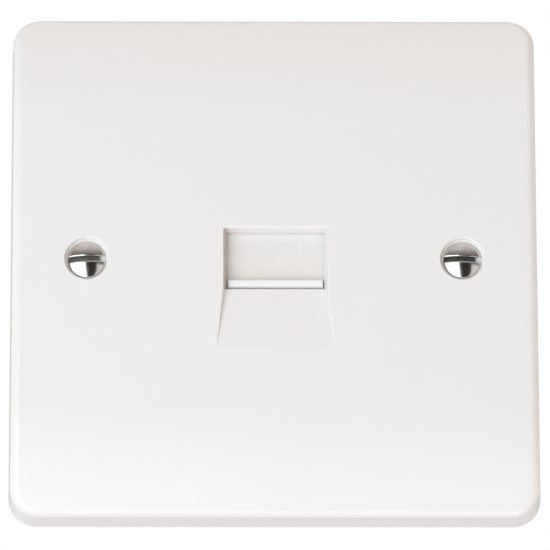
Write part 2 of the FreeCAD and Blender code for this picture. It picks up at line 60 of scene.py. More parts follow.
# ------------------------------------------------------------------ node helpers
class Mat:
    """A material under construction: a Principled shader with object coordinates in metres."""

    def __init__(self, name, rough=0.4, metallic=0.0, ior=1.5, specular=0.5, coat=0.0, coat_rough=0.1):
        self.m = bpy.data.materials.new(name)
        self.m.use_nodes = True
        self.t = self.m.node_tree
        self.t.nodes.clear()
        self.out = self.t.nodes.new("ShaderNodeOutputMaterial")
        self.p = self.t.nodes.new("ShaderNodeBsdfPrincipled")
        self.t.links.new(self.p.outputs[0], self.out.inputs[0])
        self.p.inputs["Roughness"].default_value = rough
        self.p.inputs["Metallic"].default_value = metallic
        self.p.inputs["IOR"].default_value = ior
        self.p.inputs["Specular IOR Level"].default_value = specular
        self.p.inputs["Coat Weight"].default_value = coat
        self.p.inputs["Coat Roughness"].default_value = coat_rough
        self.co = self.t.nodes.new("ShaderNodeTexCoord").outputs["Object"]
        self.normal = None

    def link(self, a, b):
        self.t.links.new(a, b)

    def noise(self, scale, detail=2.0, rough=0.5, vector=None, distortion=0.0):
        n = self.t.nodes.new("ShaderNodeTexNoise")
        n.inputs["Scale"].default_value = scale
        n.inputs["Detail"].default_value = detail
        n.inputs["Roughness"].default_value = rough
        n.inputs["Distortion"].default_value = distortion
        self.link(vector or self.co, n.inputs["Vector"])
        return n.outputs["Fac"]

    def math(self, op, a, b=None, c=None, clamp=False):
        n = self.t.nodes.new("ShaderNodeMath")
        n.operation = op
        n.use_clamp = clamp
        for i, v in enumerate((a, b, c)):
            if v is None:
                continue
            if isinstance(v, (int, float)):
                n.inputs[i].default_value = v
            else:
                self.link(v, n.inputs[i])
        return n.outputs[0]

    def ramp(self, fac, lo, hi, to_lo, to_hi, smooth=False):
        n = self.t.nodes.new("ShaderNodeMapRange")
        n.interpolation_type = "SMOOTHSTEP" if smooth else "LINEAR"
        n.clamp = True
        self.link(fac, n.inputs["Value"])
        n.inputs["From Min"].default_value = lo
        n.inputs["From Max"].default_value = hi
        n.inputs["To Min"].default_value = to_lo
        n.inputs["To Max"].default_value = to_hi
        return n.outputs["Result"]

    def mix(self, fac, a, b):
        n = self.t.nodes.new("ShaderNodeMix")
        n.data_type = "RGBA"
        if isinstance(fac, (int, float)):
            n.inputs[0].default_value = fac
        else:
            self.link(fac, n.inputs[0])
        for k, v in ((6, a), (7, b)):
            if isinstance(v, (tuple, list)):
                n.inputs[k].default_value = (*v[:3], 1.0)
            else:
                self.link(v, n.inputs[k])
        return n.outputs[2]

    def xyz(self, vector=None):
        n = self.t.nodes.new("ShaderNodeSeparateXYZ")
        self.link(vector or self.co, n.inputs[0])
        return n.outputs

    def vec(self, x, y, z):
        n = self.t.nodes.new("ShaderNodeCombineXYZ")
        for i, v in enumerate((x, y, z)):
            if isinstance(v, (int, float)):
                n.inputs[i].default_value = v
            else:
                self.link(v, n.inputs[i])
        return n.outputs[0]

    def cells(self, scale, vector=None, feature="F1"):
        n = self.t.nodes.new("ShaderNodeTexVoronoi")
        n.feature = feature
        n.inputs["Scale"].default_value = scale
        self.link(vector or self.co, n.inputs["Vector"])
        return n

    def bump(self, height, strength, distance):
        n = self.t.nodes.new("ShaderNodeBump")
        n.inputs["Strength"].default_value = strength
        n.inputs["Distance"].default_value = distance
        self.link(height, n.inputs["Height"])
        if self.normal is not None:
            self.link(self.normal, n.inputs["Normal"])
        self.normal = n.outputs[0]

    def done(self, colour, rough=None):
        if isinstance(colour, (tuple, list)):
            self.p.inputs["Base Color"].default_value = (*colour[:3], 1.0)
        else:
            self.link(colour, self.p.inputs["Base Color"])
        if rough is not None:
            self.link(rough, self.p.inputs["Roughness"])
        if self.normal is not None:
            self.link(self.normal, self.p.inputs["Normal"])
        return self.m


def specks(k, scale, share, radius, vector=None):
    """0..1 mask of tiny scattered specks: only some of the cells hold one."""
    v = k.cells(scale, vector)
    held = k.ramp(k.xyz(v.outputs["Color"])[0], 1.0 - share, 1.0 - share + 0.01, 0.0, 1.0)
    size = k.ramp(k.xyz(v.outputs["Color"])[1], 0.0, 1.0, 0.45, 1.0)
    edge = k.math("MULTIPLY", size, radius * scale)
    d = k.math("SUBTRACT", edge, v.outputs["Distance"])
    soft = k.ramp(d, 0.0, 0.4 * radius * scale, 0.0, 1.0, smooth=True)
    return k.math("MULTIPLY", soft, held)


# ------------------------------------------------------------------ surfaces
def gloss_moulding(name, colour, warm, rough, dirt, painted_light=()):
    """Glossy white moulded plastic: faint flow clouds, orange peel, a few embedded specks, and patches of painted shade
    and painted highlight laid over the colour.
    """
    k = Mat(name, rough=rough, ior=1.56)
    x, y, z = k.xyz()[:3]
    flat = k.vec(x, 0.0, z)
    cloud = k.noise(22.0, 3.0, 0.55)
    fine = k.noise(3600.0, 2.0, 0.6)
    base = k.mix(k.ramp(cloud, 0.25, 0.75, 0.0, 1.0), colour, warm)
    base = k.mix(k.ramp(fine, 0.3, 0.7, 0.0, 0.22), base, tuple(c * 0.95 for c in colour))
    # lay the painted shade and painted highlight patches over the colour
    for mask, tone in painted_light:
        base = k.mix(mask(k, x, y, z), base, tone)
    mark = specks(k, 95.0, 0.16, 0.00017, flat)
    tiny = specks(k, 330.0, 0.05, 0.00009, flat)
    base = k.mix(k.math("MULTIPLY", mark, dirt), base, (0.52, 0.47, 0.41))
    base = k.mix(k.math("MULTIPLY", tiny, dirt * 0.7), base, (0.45, 0.43, 0.41))
    r = k.ramp(k.noise(90.0, 3.0, 0.6), 0.25, 0.75, rough - 0.03, rough + 0.05)
    k.bump(k.noise(320.0, 2.0, 0.5), 0.10, 0.00005)
    k.bump(k.noise(1900.0, 2.0, 0.6), 0.12, 0.00001)
    return k.done(base, r)


def matt_moulding(name, colour, shade, rough=0.5, grain=0.3):
    """Spark-eroded finish of the hidden mouldings, with faint flow lines."""
    k = Mat(name, rough=rough, ior=1.5)
    x, y, z = k.xyz()[:3]
    flow = k.noise(60.0, 3.0, 0.6, k.vec(k.math("MULTIPLY", x, 0.35), y, z))
    pit = k.noise(4200.0, 3.0, 0.65)
    base = k.mix(k.ramp(flow, 0.3, 0.7, 0.0, 1.0), colour, shade)
    base = k.mix(k.ramp(pit, 0.3, 0.6, 0.12, 0.0), base, tuple(c * 0.72 for c in shade))
    r = k.ramp(pit, 0.3, 0.7, rough - 0.08, rough + 0.1)
    k.bump(pit, grain, 0.00003)
    k.bump(k.noise(500.0, 2.0), 0.1, 0.00004)
    return k.done(base, r)


def polar(k, cx=0.0, cz=0.0):
    x, y, z = k.xyz()[:3]
    dx = k.math("SUBTRACT", x, cx)
    dz = k.math("SUBTRACT", z, cz)
    rr = k.math("SQRT", k.math("ADD", k.math("MULTIPLY", dx, dx), k.math("MULTIPLY", dz, dz)))
    return rr, k.math("ARCTAN2", dz, dx), y


def nickel_plate(name, turn):
    """Bright nickel over turned steel: fine rings round the axis, small scratches and dull spots."""
    k = Mat(name, rough=0.14, metallic=1.0)
    rr, ang, y = polar(k)
    rings = k.noise(1.0, 3.0, 0.7, k.vec(k.math("MULTIPLY", rr, 9000.0), k.math("MULTIPLY", ang, 0.5), k.math("MULTIPLY", y, 5200.0)))
    wide = k.noise(700.0, 3.0, 0.6)
    scratch = k.noise(1.0, 2.0, 0.6, k.vec(k.math("MULTIPLY", k.xyz()[0], 2500.0), k.math("MULTIPLY", y, 400.0), k.math("MULTIPLY", k.xyz()[2], 26000.0)))
    base = k.mix(k.ramp(wide, 0.3, 0.72, 0.0, 1.0), (0.80, 0.775, 0.735), (0.66, 0.635, 0.60))
    spot = specks(k, 1500.0, 0.10, 0.00011)
    base = k.mix(k.math("MULTIPLY", spot, 0.45), base, (0.30, 0.27, 0.235))
    # the slot, seen from the dome's surface inwards: rougher and darkened with painted shade, with a painted highlight
    # at its right end, which is rougher still
    x, y, z = k.xyz()[:3]
    dome = k.math("SUBTRACT", 0.00663, k.math("SQRT", k.math("SUBTRACT", 0.00663 ** 2, k.math("MULTIPLY", rr, rr), clamp=True)))
    across = k.math("ADD", z, k.math("MULTIPLY", x, math.tan(math.radians(turn))))
    depth = k.math("SUBTRACT", k.math("ADD", y, 0.00866), dome)
    slot = k.math("MULTIPLY", k.math("MULTIPLY", k.ramp(depth, 0.00004, 0.00022, 0.0, 1.0), k.ramp(k.math("ABSOLUTE", across), 0.00053, 0.00056, 1.0, 0.0)), k.ramp(y, -0.00735, -0.0073, 1.0, 0.0))
    # painted shade in the slot
    base = k.mix(slot, base, k.mix(wide, (0.20, 0.185, 0.170), (0.42, 0.40, 0.375)))
    # painted highlight at the slot's right end
    end = k.math("MULTIPLY", slot, k.ramp(x, 0.0020, 0.0025, 0.0, 1.0))
    base = k.mix(end, base, (0.93, 0.92, 0.91))
    # its long edges are rounded over
    t_edge = k.ramp(k.math("ABSOLUTE", across), 0.000475, 0.00066, 1.0, 0.0)
    on_dome = k.math("MULTIPLY", k.ramp(depth, 0.00002, 0.00006, 1.0, 0.0), k.ramp(rr, 0.0029, 0.0031, 1.0, 0.0))
    fall = k.math("MULTIPLY", k.math("MULTIPLY", t_edge, t_edge), on_dome)
    r = k.math("ADD", k.ramp(wide, 0.3, 0.75, 0.10, 0.19), k.math("MULTIPLY", spot, 0.12))
    r = k.math("ADD", r, k.math("MULTIPLY", slot, 0.10))
    r = k.math("ADD", r, k.math("MULTIPLY", end, 0.45))
    k.bump(k.math("SUBTRACT", 1.0, fall), 1.0, 0.00006)
    k.bump(rings, 0.30, 0.000006)
    k.bump(k.ramp(scratch, 0.62, 0.72, 0.0, 1.0), 0.22, 0.000006)
    k.bump(k.noise(420.0, 2.0, 0.5), 0.35, 0.00002)
    return k.done(base, r)


def zinc_plate(name):
    k = Mat(name, rough=0.34, metallic=1.0)
    cell = k.cells(2600.0)
    cloud = k.noise(900.0, 3.0, 0.6)
    base = k.mix(k.ramp(cloud, 0.3, 0.7, 0.0, 1.0), (0.60, 0.63, 0.66), (0.72, 0.71, 0.66))
    base = k.mix(k.ramp(cell.outputs["Distance"], 0.0, 0.9, 0.0, 0.25), base, (0.42, 0.45, 0.5))
    r = k.ramp(cloud, 0.3, 0.7, 0.26, 0.42)
    k.bump(cell.outputs["Distance"], 0.14, 0.00002)
    return k.done(base, r)


def drawn_wire(name):
    """Spring wire: dark drawn steel with long die lines."""
    k = Mat(name, rough=0.3, metallic=1.0)
    x, y, z = k.xyz()[:3]
    line = k.noise(1.0, 3.0, 0.6, k.vec(k.math("MULTIPLY", x, 900.0), k.math("MULTIPLY", y, 900.0), k.math("MULTIPLY", z, 16000.0)))
    base = k.mix(k.ramp(line, 0.3, 0.7, 0.0, 1.0), (0.36, 0.34, 0.31), (0.56, 0.55, 0.53))
    k.bump(line, 0.3, 0.000008)
    return k.done(base, k.ramp(line, 0.3, 0.7, 0.22, 0.4))


def sheet_metal(name, light, dark, along="y", rough=0.3):
    """Stamped strip with rolling lines along one axis and dull handling marks."""
    k = Mat(name, rough=rough, metallic=1.0)
    x, y, z = k.xyz()[:3]
    sx, sy, sz = (9000.0, 600.0, 9000.0) if along == "y" else (9000.0, 9000.0, 600.0)
    line = k.noise(1.0, 3.0, 0.6, k.vec(k.math("MULTIPLY", x, sx), k.math("MULTIPLY", y, sy), k.math("MULTIPLY", z, sz)))
    cloud = k.noise(500.0, 3.0, 0.6)
    base = k.mix(k.ramp(cloud, 0.3, 0.7, 0.0, 1.0), light, dark)
    base = k.mix(k.ramp(line, 0.3, 0.7, 0.0, 0.3), base, tuple(c * 0.6 for c in dark))
    k.bump(line, 0.25, 0.000006)
    return k.done(base, k.ramp(line, 0.3, 0.7, rough - 0.08, rough + 0.1))


def board_mask(name):
    """Green lacquer over woven glass: weave shows through faintly, cut edges are straw coloured."""
    k = Mat(name, rough=0.28, ior=1.52)
    x, y, z = k.xyz()[:3]
    wx = k.math("SINE", k.math("MULTIPLY", x, 2 * math.pi / 0.00055))
    wz = k.math("SINE", k.math("MULTIPLY", z, 2 * math.pi / 0.0006))
    weave = k.ramp(k.math("MULTIPLY", wx, wz), -1.0, 1.0, 0.0, 1.0)
    cloud = k.noise(160.0, 3.0, 0.6)
    green = k.mix(k.ramp(cloud, 0.3, 0.7, 0.0, 1.0), (0.018, 0.115, 0.040), (0.028, 0.150, 0.055))
    green = k.mix(k.math("MULTIPLY", weave, 0.16), green, (0.06, 0.23, 0.09))
    n = k.t.nodes.new("ShaderNodeNewGeometry")
    ny = k.math("ABSOLUTE", k.xyz(n.outputs["True Normal"])[1])
    glass = k.mix(k.noise(2500.0, 3.0, 0.7), (0.46, 0.42, 0.24), (0.62, 0.57, 0.36))
    base = k.mix(k.ramp(ny, 0.5, 0.6, 0.0, 1.0), glass, green)
    k.bump(weave, 0.12, 0.00002)
    k.bump(k.noise(300.0, 2.0), 0.10, 0.00004)
    return k.done(base, k.ramp(cloud, 0.3, 0.7, 0.22, 0.34))


def track_mask(name):
    """The same lacquer where copper lies under it."""
    k = Mat(name, rough=0.26, ior=1.52)
    cloud = k.noise(400.0, 3.0, 0.6)
    base = k.mix(k.ramp(cloud, 0.3, 0.7, 0.0, 1.0), (0.045, 0.235, 0.075), (0.065, 0.285, 0.095))
    k.bump(k.noise(900.0, 2.0), 0.15, 0.00003)
    return k.done(base, k.ramp(cloud, 0.3, 0.7, 0.2, 0.32))


def solder(name):
    k = Mat(name, rough=0.24, metallic=1.0)
    cloud = k.noise(1100.0, 3.0, 0.6)
    base = k.mix(k.ramp(cloud, 0.3, 0.7, 0.0, 1.0), (0.74, 0.75, 0.76), (0.55, 0.555, 0.56))
    k.bump(k.noise(2200.0, 2.0), 0.25, 0.00002)
    return k.done(base, k.ramp(cloud, 0.3, 0.7, 0.16, 0.4))


WHITE = (0.842, 0.832, 0.818)


def painted_highlight_lip(k, x, y, z):
    """The shutter's lip, made whiter: a painted highlight."""
    return k.ramp(y, -0.0067, -0.0062, 1.0, 0.0)


def painted_shade_opening_sides(k, x, y, z):
    """Painted shade on the opening's side walls, most on the left."""
    side = k.math("ABSOLUTE", k.math("SUBTRACT", x, 0.00016))
    wall = k.math("MULTIPLY", k.ramp(side, 0.00765, 0.0078, 0.0, 1.0), k.ramp(side, 0.00832, 0.00842, 1.0, 0.0))
    high = k.math("MULTIPLY", k.ramp(z, -0.0052, -0.0047, 0.0, 1.0), k.ramp(z, 0.0052, 0.0053, 1.0, 0.0))
    left = k.ramp(x, -0.002, 0.002, 1.0, 0.04)
    return k.math("MULTIPLY", k.math("MULTIPLY", wall, high), k.math("MULTIPLY", left, k.ramp(y, -0.0087, -0.0084, 0.0, 1.0)))


def painted_shade_shutter_foot(k, x, y, z):
    """Painted shade on the shutter's face: darker and warmer towards its foot."""
    return k.ramp(z, 0.0045, -0.0030, 0.0, 1.0)


# the plate: painted shade on the opening's side walls
PLATE = gloss_moulding("plate_white", WHITE, (0.841, 0.8315, 0.817), 0.22, 0.6, ((painted_shade_opening_sides, (0.62, 0.56, 0.505)),))
# the shutter: painted shade towards its foot and a painted highlight on its lip
SHUTTER = gloss_moulding("shutter_white", (0.838, 0.824, 0.806), (0.836, 0.822, 0.803), 0.24, 0.22,
                         ((painted_shade_shutter_foot, (0.800, 0.768, 0.738)), (painted_highlight_lip, (0.895, 0.893, 0.892))))
HOUSING = matt_moulding("housing_white", (0.80, 0.79, 0.765), (0.76, 0.75, 0.72))
TERMINAL = matt_moulding("terminal_white", (0.78, 0.775, 0.755), (0.74, 0.735, 0.71), 0.42)
CARRIER = matt_moulding("carrier_black", (0.022, 0.022, 0.024), (0.034, 0.034, 0.036), 0.46)
NICKEL = nickel_plate("nickel", -2.0)
NICKEL_R = nickel_plate("nickel_right", 1.5)
ZINC = zinc_plate("zinc")
SPRING = drawn_wire("spring_steel")
CLIP = sheet_metal("clip_tin", (0.74, 0.735, 0.72), (0.62, 0.615, 0.60), "y", 0.3)
CONTACT = sheet_metal("contact_bronze", (0.83, 0.62, 0.30), (0.74, 0.52, 0.24), "y", 0.22)
BOARD = board_mask("board")
TRACK = track_mask("board_track")
SOLDER = solder("solder")

FINISH = {
    "faceplate": PLATE,
    "shutter": SHUTTER,
    "jack_housing": HOUSING,
    "contact_carrier": CARRIER,
    "circuit_board": BOARD,
    "terminal_block_left": TERMINAL,
    "terminal_block_right": TERMINAL,
    "module_screw_left": ZINC,
    "module_screw_right": ZINC,
    "shutter_spring": SPRING,
    "fixing_screw_left": NICKEL,
    "fixing_screw_right": NICKEL_R,
}
for i in range(1, 7):
    FINISH["contact_%d" % i] = CONTACT
    FINISH["terminal_clip_%d" % i] = CLIP
for name, node in NODES.items():
    for s in range(max(1, len(node.data.materials))):
        if s < len(node.data.materials):
            node.data.materials[s] = FINISH[name]
        else:
            node.data.materials.append(FINISH[name])


# ------------------------------------------------------------------ mesh helpers
def new_piece(name, verts, faces, material, body, smooth=True, origin=(0, 0, 0)):
    me = bpy.data.meshes.new(name)
    o = Vector(origin)
    me.from_pydata([tuple(Vector(v) - o) for v in verts], [], faces)
    me.validate()
    bm = bmesh.new()
    bm.from_mesh(me)
    bmesh.ops.recalc_face_normals(bm, faces=bm.faces)
    bm.to_mesh(me)
    bm.free()
    for p in me.polygons:
        p.use_smooth = smooth
    me.materials.append(material)
    ob = bpy.data.objects.new(name, me)
    ob.location = o
    scene.collection.objects.link(ob)
    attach(ob, body)
    return ob


def sharpen(ob, degrees=35):
    """Marks the edges that turn more than this as sharp, so that flats shade flat."""
    bm = bmesh.new()
    bm.from_mesh(ob.data)
    for e in bm.edges:
        if len(e.link_faces) == 2 and e.calc_face_angle(0.0) > math.radians(degrees):
            e.smooth = False
    bm.to_mesh(ob.data)
    bm.free()
    return ob


def tube(points, radius, sides=12, flat_ends=None):
    """Round bar along a line of points, with closed ends."""
    pts = [Vector(p) for p in points]
    n = len(pts)
    verts, faces = [], []
    up = None
    for i, p in enumerate(pts):
        d = (pts[min(i + 1, n - 1)] - pts[max(i - 1, 0)]).normalized()
        if up is None:
            up = d.orthogonal().normalized()
        up = (up - d * up.dot(d)).normalized()
        side = d.cross(up)
        for j in range(sides):
            a = 2 * math.pi * j / sides
            v = p + (up * math.cos(a) + side * math.sin(a)) * radius
            if flat_ends:
                v.z = min(max(v.z, flat_ends[0]), flat_ends[1])
            verts.append(v)
    for i in range(n - 1):
        for j in range(sides):
            a, b = i * sides + j, i * sides + (j + 1) % sides
            faces.append((a, b, b + sides, a + sides))
    faces.append(tuple(range(sides))[::-1])
    faces.append(tuple(range((n - 1) * sides, n * sides)))
    return verts, faces


def lathe_y(profile, x, z, sides=24):
    """Solid of revolution round a line along Y. The profile's (y, r) ends lie on the line."""
    verts, faces = [], []
    rows = []
    for y, r in profile:
        if r <= 1e-9:
            rows.append([len(verts)])
            verts.append((x, y, z))
        else:
            rows.append(list(range(len(verts), len(verts) + sides)))
            for j in range(sides):
                a = 2 * math.pi * j / sides
                verts.append((x + r * math.cos(a), y, z + r * math.sin(a)))
    for r0, r1 in zip(rows, rows[1:]):
        for j in range(sides):
            k = (j + 1) % sides
            if len(r0) == 1 and len(r1) == 1:
                break
            if len(r0) == 1:
                faces.append((r0[0], r1[j], r1[k]))
            elif len(r1) == 1:
                faces.append((r0[j], r1[0], r0[k]))
            else:
                faces.append((r0[j], r1[j], r1[k], r0[k]))
    return verts, faces


def join_parts(parts):
    verts, faces = [], []
    for v, f in parts:
        base = len(verts)
        verts += [tuple(p) for p in v]
        faces += [tuple(i + base for i in q) for q in f]
    return verts, faces


# ------------------------------------------------------------------ shutter spring: a real coil
SP_Y, SP_Z0, SP_Z1 = -4.25 * MM, 6.93 * MM, 17.87 * MM
WIRE = 0.19 * MM
COIL = 1.5 * MM - WIRE
turns, steps = 7.0, 36
rise_end = 0.38 * MM
rise_mid = (SP_Z1 - SP_Z0 - 2 * WIRE - 2 * rise_end) / (turns - 2)
line, z = [], SP_Z0 + WIRE
total = int(turns * steps)
for i in range(total + 1):
    a = 2 * math.pi * i / steps
    line.append((COIL * math.cos(a), SP_Y + COIL * math.sin(a), z))
    here = (i + 0.5) / steps
    z += (rise_end if here < 1 or here > turns - 1 else rise_mid) / steps
verts, faces = tube(line, WIRE, 10, (SP_Z0, SP_Z1))
spring = new_piece("shutter_spring_coil", verts, faces, SPRING, "outlet")
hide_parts("shutter_spring")
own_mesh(spring)


# ------------------------------------------------------------------ fixing screws: the head as it is, with a cut thread
def threaded(x, y0, y1, tip, blank, crest, root, pitch, sides=36):
    """Single-start thread on a plain blank, fading out towards the head, with a chamfered tip."""
    shape = ((0.0, 0.0), (0.06, 0.0), (0.44, 1.0), (0.56, 1.0), (0.94, 0.0))
    m = len(shape)
    n_turn = int((tip - y0) / pitch) + 3
    rows = n_turn * sides
    verts, faces = [], []
    for i in range(rows + 1):
        a = 2 * math.pi * i / sides
        for s, h in shape:
            y = y0 - pitch + pitch * (i / sides + s)
            fade = min(max((y - y0) / (1.4 * pitch), 0.0), 1.0)
            r = blank * (1 - fade) + (root + (crest - root) * h) * fade
            if y > y1:
                r = min(r, crest - (y - y1) * (0.6 * MM) / (tip - y1))
            verts.append((x + r * math.cos(a), y, r * math.sin(a)))
    for i in range(rows):
        for j in range(m - 1):
            a = i * m + j
            faces.append((a, a + 1, a + m + 1, a + m))
        k = (i + sides) * m
        if i + sides < rows:
            faces.append((i * m + m - 1, k, k + m, (i + 1) * m + m - 1))
    me = bpy.data.meshes.new("thread_blank")
    me.from_pydata(verts, [], faces)
    bm = bmesh.new()
    bm.from_mesh(me)
    for co, no in (((0, y0, 0), (0, -1, 0)), ((0, tip, 0), (0, 1, 0))):
        cut = bmesh.ops.bisect_plane(
            bm, geom=bm.verts[:] + bm.edges[:] + bm.faces[:], plane_co=co, plane_no=no, clear_outer=True, dist=1e-8
        )
        ring = [e for e in cut["geom_cut"] if isinstance(e, bmesh.types.BMEdge)]
        bmesh.ops.edgeloop_fill(bm, edges=ring)
    bmesh.ops.recalc_face_normals(bm, faces=bm.faces)
    bm.to_mesh(me)
    bm.free()
    return me


for side, label in ((-1, "left"), (1, "right")):
    node = NODES["fixing_screw_" + label]
    x = side * 30.15 * MM
    y_cut = -2.2 * MM
    bm = bmesh.new()
    bm.from_mesh(node.data)
    bmesh.ops.remove_doubles(bm, verts=bm.verts, dist=1e-7)
    cut = bmesh.ops.bisect_plane(
        bm, geom=bm.verts[:] + bm.edges[:] + bm.faces[:], plane_co=(0, y_cut, 0), plane_no=(0, 1, 0), clear_outer=True, dist=1e-8
    )
    ring = [e for e in cut["geom_cut"] if isinstance(e, bmesh.types.BMEdge)]
    bmesh.ops.edgeloop_fill(bm, edges=ring)
    shank = threaded(x, y_cut - 0.05 * MM, 17.0 * MM, 17.7 * MM, 1.5 * MM, 1.72 * MM, 1.36 * MM, 0.6 * MM)
    bm.from_mesh(shank)
    for f in bm.faces:
        f.smooth = True
        f.material_index = 0
    for e in bm.edges:
        if len(e.link_faces) == 2 and e.calc_face_angle(0.0) > math.radians(32):
            e.smooth = False
    me = bpy.data.meshes.new("fixing_screw_" + label + "_cut")
    bm.to_mesh(me)
    bm.free()
    me.transform(Matrix.Translation((-x, 0, 0)))
    me.materials.append(NICKEL if side < 0 else NICKEL_R)
    ob = bpy.data.objects.new("fixing_screw_" + label + "_cut", me)
    ob.location = (x, 0, 0)
    scene.collection.objects.link(ob)
    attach(ob, "outlet")
    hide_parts("fixing_screw_" + label)


# ------------------------------------------------------------------ circuit board: solder joints and tracks
CONTACT_X = [1.9 * MM * (i - 2.5) for i in range(6)]
CLIPS_AT = [(-16.9 * MM, 7 * MM), (-16.9 * MM, 0), (-16.9 * MM, -7 * MM), (16.9 * MM, 7 * MM), (16.9 * MM, 0), (16.9 * MM, -7 * MM)]


def joint_cone(x, z, y_board, out, r_pad, r_top, reach):
    """Soldered pad: a flat ring and a hollow-sided cone up the pin."""
    rows = [(y_board - 0.02 * MM * out, 0.0), (y_board - 0.02 * MM * out, r_pad), (y_board + 0.05 * MM * out, r_pad)]
    for i in range(1, 7):
        t = i / 6
        rows.append((y_board + (0.05 * MM + (reach - 0.05 * MM) * t ** 1.7) * out, r_pad + (r_top - r_pad) * t ** 0.7))
    rows.append((y_board + (reach + 0.04 * MM) * out, 0.0))
    return lathe_y(rows, x, z, 20)


parts = [joint_cone(x, 6.9 * MM, 11.2 * MM, 1, 0.78 * MM, 0.36 * MM, 0.62 * MM) for x in CONTACT_X]
parts += [joint_cone(x, z, 9.6 * MM, -1, 1.15 * MM, 0.45 * MM, 0.48 * MM) for x, z in CLIPS_AT]
verts, faces = join_parts(parts)
joints = new_piece("solder_joints", verts, faces, SOLDER, "outlet")
sharpen(joints, 40)


def ribbon(points, y0, y1, width):
    """Flat track with mitred turns and round ends, between two depths."""
    pts = [Vector((p[0] * MM, p[1] * MM)) for p in points]
    w = width * MM / 2
    left, right = [], []
    n = len(pts)
    for i, p in enumerate(pts):
        d0 = (p - pts[i - 1]).normalized() if i else (pts[1] - p).normalized()
        d1 = (pts[i + 1] - p).normalized() if i < n - 1 else d0
        n0, n1 = Vector((-d0.y, d0.x)), Vector((-d1.y, d1.x))
        m = (n0 + n1).normalized()
        k = w / max(m.dot(n0), 0.3)
        left.append(p + m * k)
        right.append(p - m * k)

    def cap(p, d):
        nn = Vector((-d.y, d.x))
        return [p + (nn * math.cos(a) + d * math.sin(a)) * w for a in [math.pi * j / 8 for j in range(1, 8)]]

    d_start = (pts[0] - pts[1]).normalized()
    d_end = (pts[-1] - pts[-2]).normalized()
    ring = left + cap(pts[-1], d_end) + right[::-1] + cap(pts[0], d_start)
    c = len(ring)
    verts = [(p.x, y0, p.y) for p in ring] + [(p.x, y1, p.y) for p in ring]
    faces = [tuple(range(c)), tuple(range(c, 2 * c))[::-1]]
    faces += [(i, (i + 1) % c, (i + 1) % c + c, i + c) for i in range(c)]
    return verts, faces


BACK = (11.18 * MM, 11.245 * MM)
FRONT = (9.62 * MM, 9.555 * MM)
tracks = [
    ribbon([(-4.75, 6.9), (-13.6, 6.9)], *BACK, 0.9),
    ribbon([(-2.85, 6.9), (-2.85, 5.4), (-5.05, 3.2), (-13.6, 3.2)], *BACK, 0.7),
    ribbon([(-0.95, 6.9), (-0.95, -3.0), (-4.95, -7.0), (-13.6, -7.0)], *BACK, 0.7),
    ribbon([(0.95, 6.9), (0.95, 9.0), (2.15, 10.2), (9.2, 10.2), (12.4, 7.0), (13.6, 7.0)], *BACK, 0.7),
    ribbon([(4.75, 6.9), (4.75, -2.75), (9.0, -7.0), (13.6, -7.0)], *BACK, 0.9),
    ribbon([(2.85, 6.9), (2.85, 5.0), (5.4, 2.5), (14.4, 2.5), (16.9, 0.0)], *FRONT, 0.7),
]
verts, faces = join_parts(tracks)
tr = new_piece("board_tracks", verts, faces, TRACK, "outlet", smooth=False)


# ------------------------------------------------------------------ raised terminal numbers
def number(text, x, z, size, y0, height, body, material, name):
    cu = bpy.data.curves.new(name + "_line", "FONT")
    cu.body = text
    cu.size = size
    cu.extrude = height / 2
    cu.bevel_depth = height * 0.22
    cu.bevel_resolution = 1
    cu.resolution_u = 5
    cu.align_x = "CENTER"
    cu.align_y = "CENTER"
    tmp = bpy.data.objects.new(name + "_line", cu)
    scene.collection.objects.link(tmp)
    bpy.context.view_layer.update()
    me = bpy.data.meshes.new_from_object(tmp)
    bpy.data.objects.remove(tmp)
    # the text stands on the block's outer end and reads from behind
    turn = Matrix(((-1, 0, 0), (0, 0, 1), (0, 1, 0))).to_4x4()
    me.transform(Matrix.Translation((x, y0 + height / 2, z)) @ turn)
    bm = bmesh.new()
    bm.from_mesh(me)
    bmesh.ops.remove_doubles(bm, verts=bm.verts, dist=1e-7)
    bmesh.ops.recalc_face_normals(bm, faces=bm.faces)
    bm.to_mesh(me)
    bm.free()
    me.materials.clear()
    me.materials.append(material)
    ob = bpy.data.objects.new(name, me)
    scene.collection.objects.link(ob)
    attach(ob, body)
    return ob


for i, (x, z) in enumerate(CLIPS_AT):
    number(str(i + 1), x, z + 2.25 * MM, 1.9 * MM, 19.58 * MM, 0.16 * MM, "outlet", TERMINAL, "terminal_number_%d" % (i + 1))


# ------------------------------------------------------------------ ejector marks behind the face
marks = []
for x, z in ((-33, 33), (33, 33), (-33, -33), (33, -33), (-20, 24), (20, 24), (-20, -24), (20, -24), (0, -31), (0, 31)):
    y = -6.3 * MM
    marks.append(
        lathe_y([(y - 0.05 * MM, 0.0), (y - 0.05 * MM, 1.6 * MM), (y + 0.05 * MM, 1.6 * MM), (y + 0.09 * MM, 1.56 * MM), (y + 0.09 * MM, 1.4 * MM), (y + 0.03 * MM, 1.34 * MM), (y + 0.03 * MM, 0.0)], x * MM, z * MM, 32)
    )
verts, faces = join_parts(marks)
ej = new_piece("ejector_marks", verts, faces, PLATE, "outlet")
sharpen(ej, 40)

# ------------------------------------------------------------------ floor
FLOOR_Z = -1.75
me = bpy.data.meshes.new("floor")
me.from_pydata([(-6, -6, 0), (6, -6, 0), (6, 6, 0), (-6, 6, 0)], [], [(0, 1, 2, 3)])
floor = bpy.data.objects.new("floor", me)
floor.location = (0, 0, FLOOR_Z)
scene.collection.objects.link(floor)
k = Mat("floor_pale", rough=0.7)
tone = k.noise(3.0, 3.0, 0.5)
k.bump(k.noise(60.0, 3.0), 0.05, 0.002)
me.materials.append(k.done(k.mix(k.ramp(tone, 0.3, 0.7, 0.0, 1.0), (0.86, 0.86, 0.86), (0.84, 0.84, 0.838))))

# ------------------------------------------------------------------ light
world = bpy.data.worlds.new("studio")
scene.world = world
world.use_nodes = True
t = world.node_tree
t.nodes.clear()
direction = t.nodes.new("ShaderNodeSeparateXYZ")
t.links.new(t.nodes.new("ShaderNodeTexCoord").outputs["Generated"], direction.inputs[0])


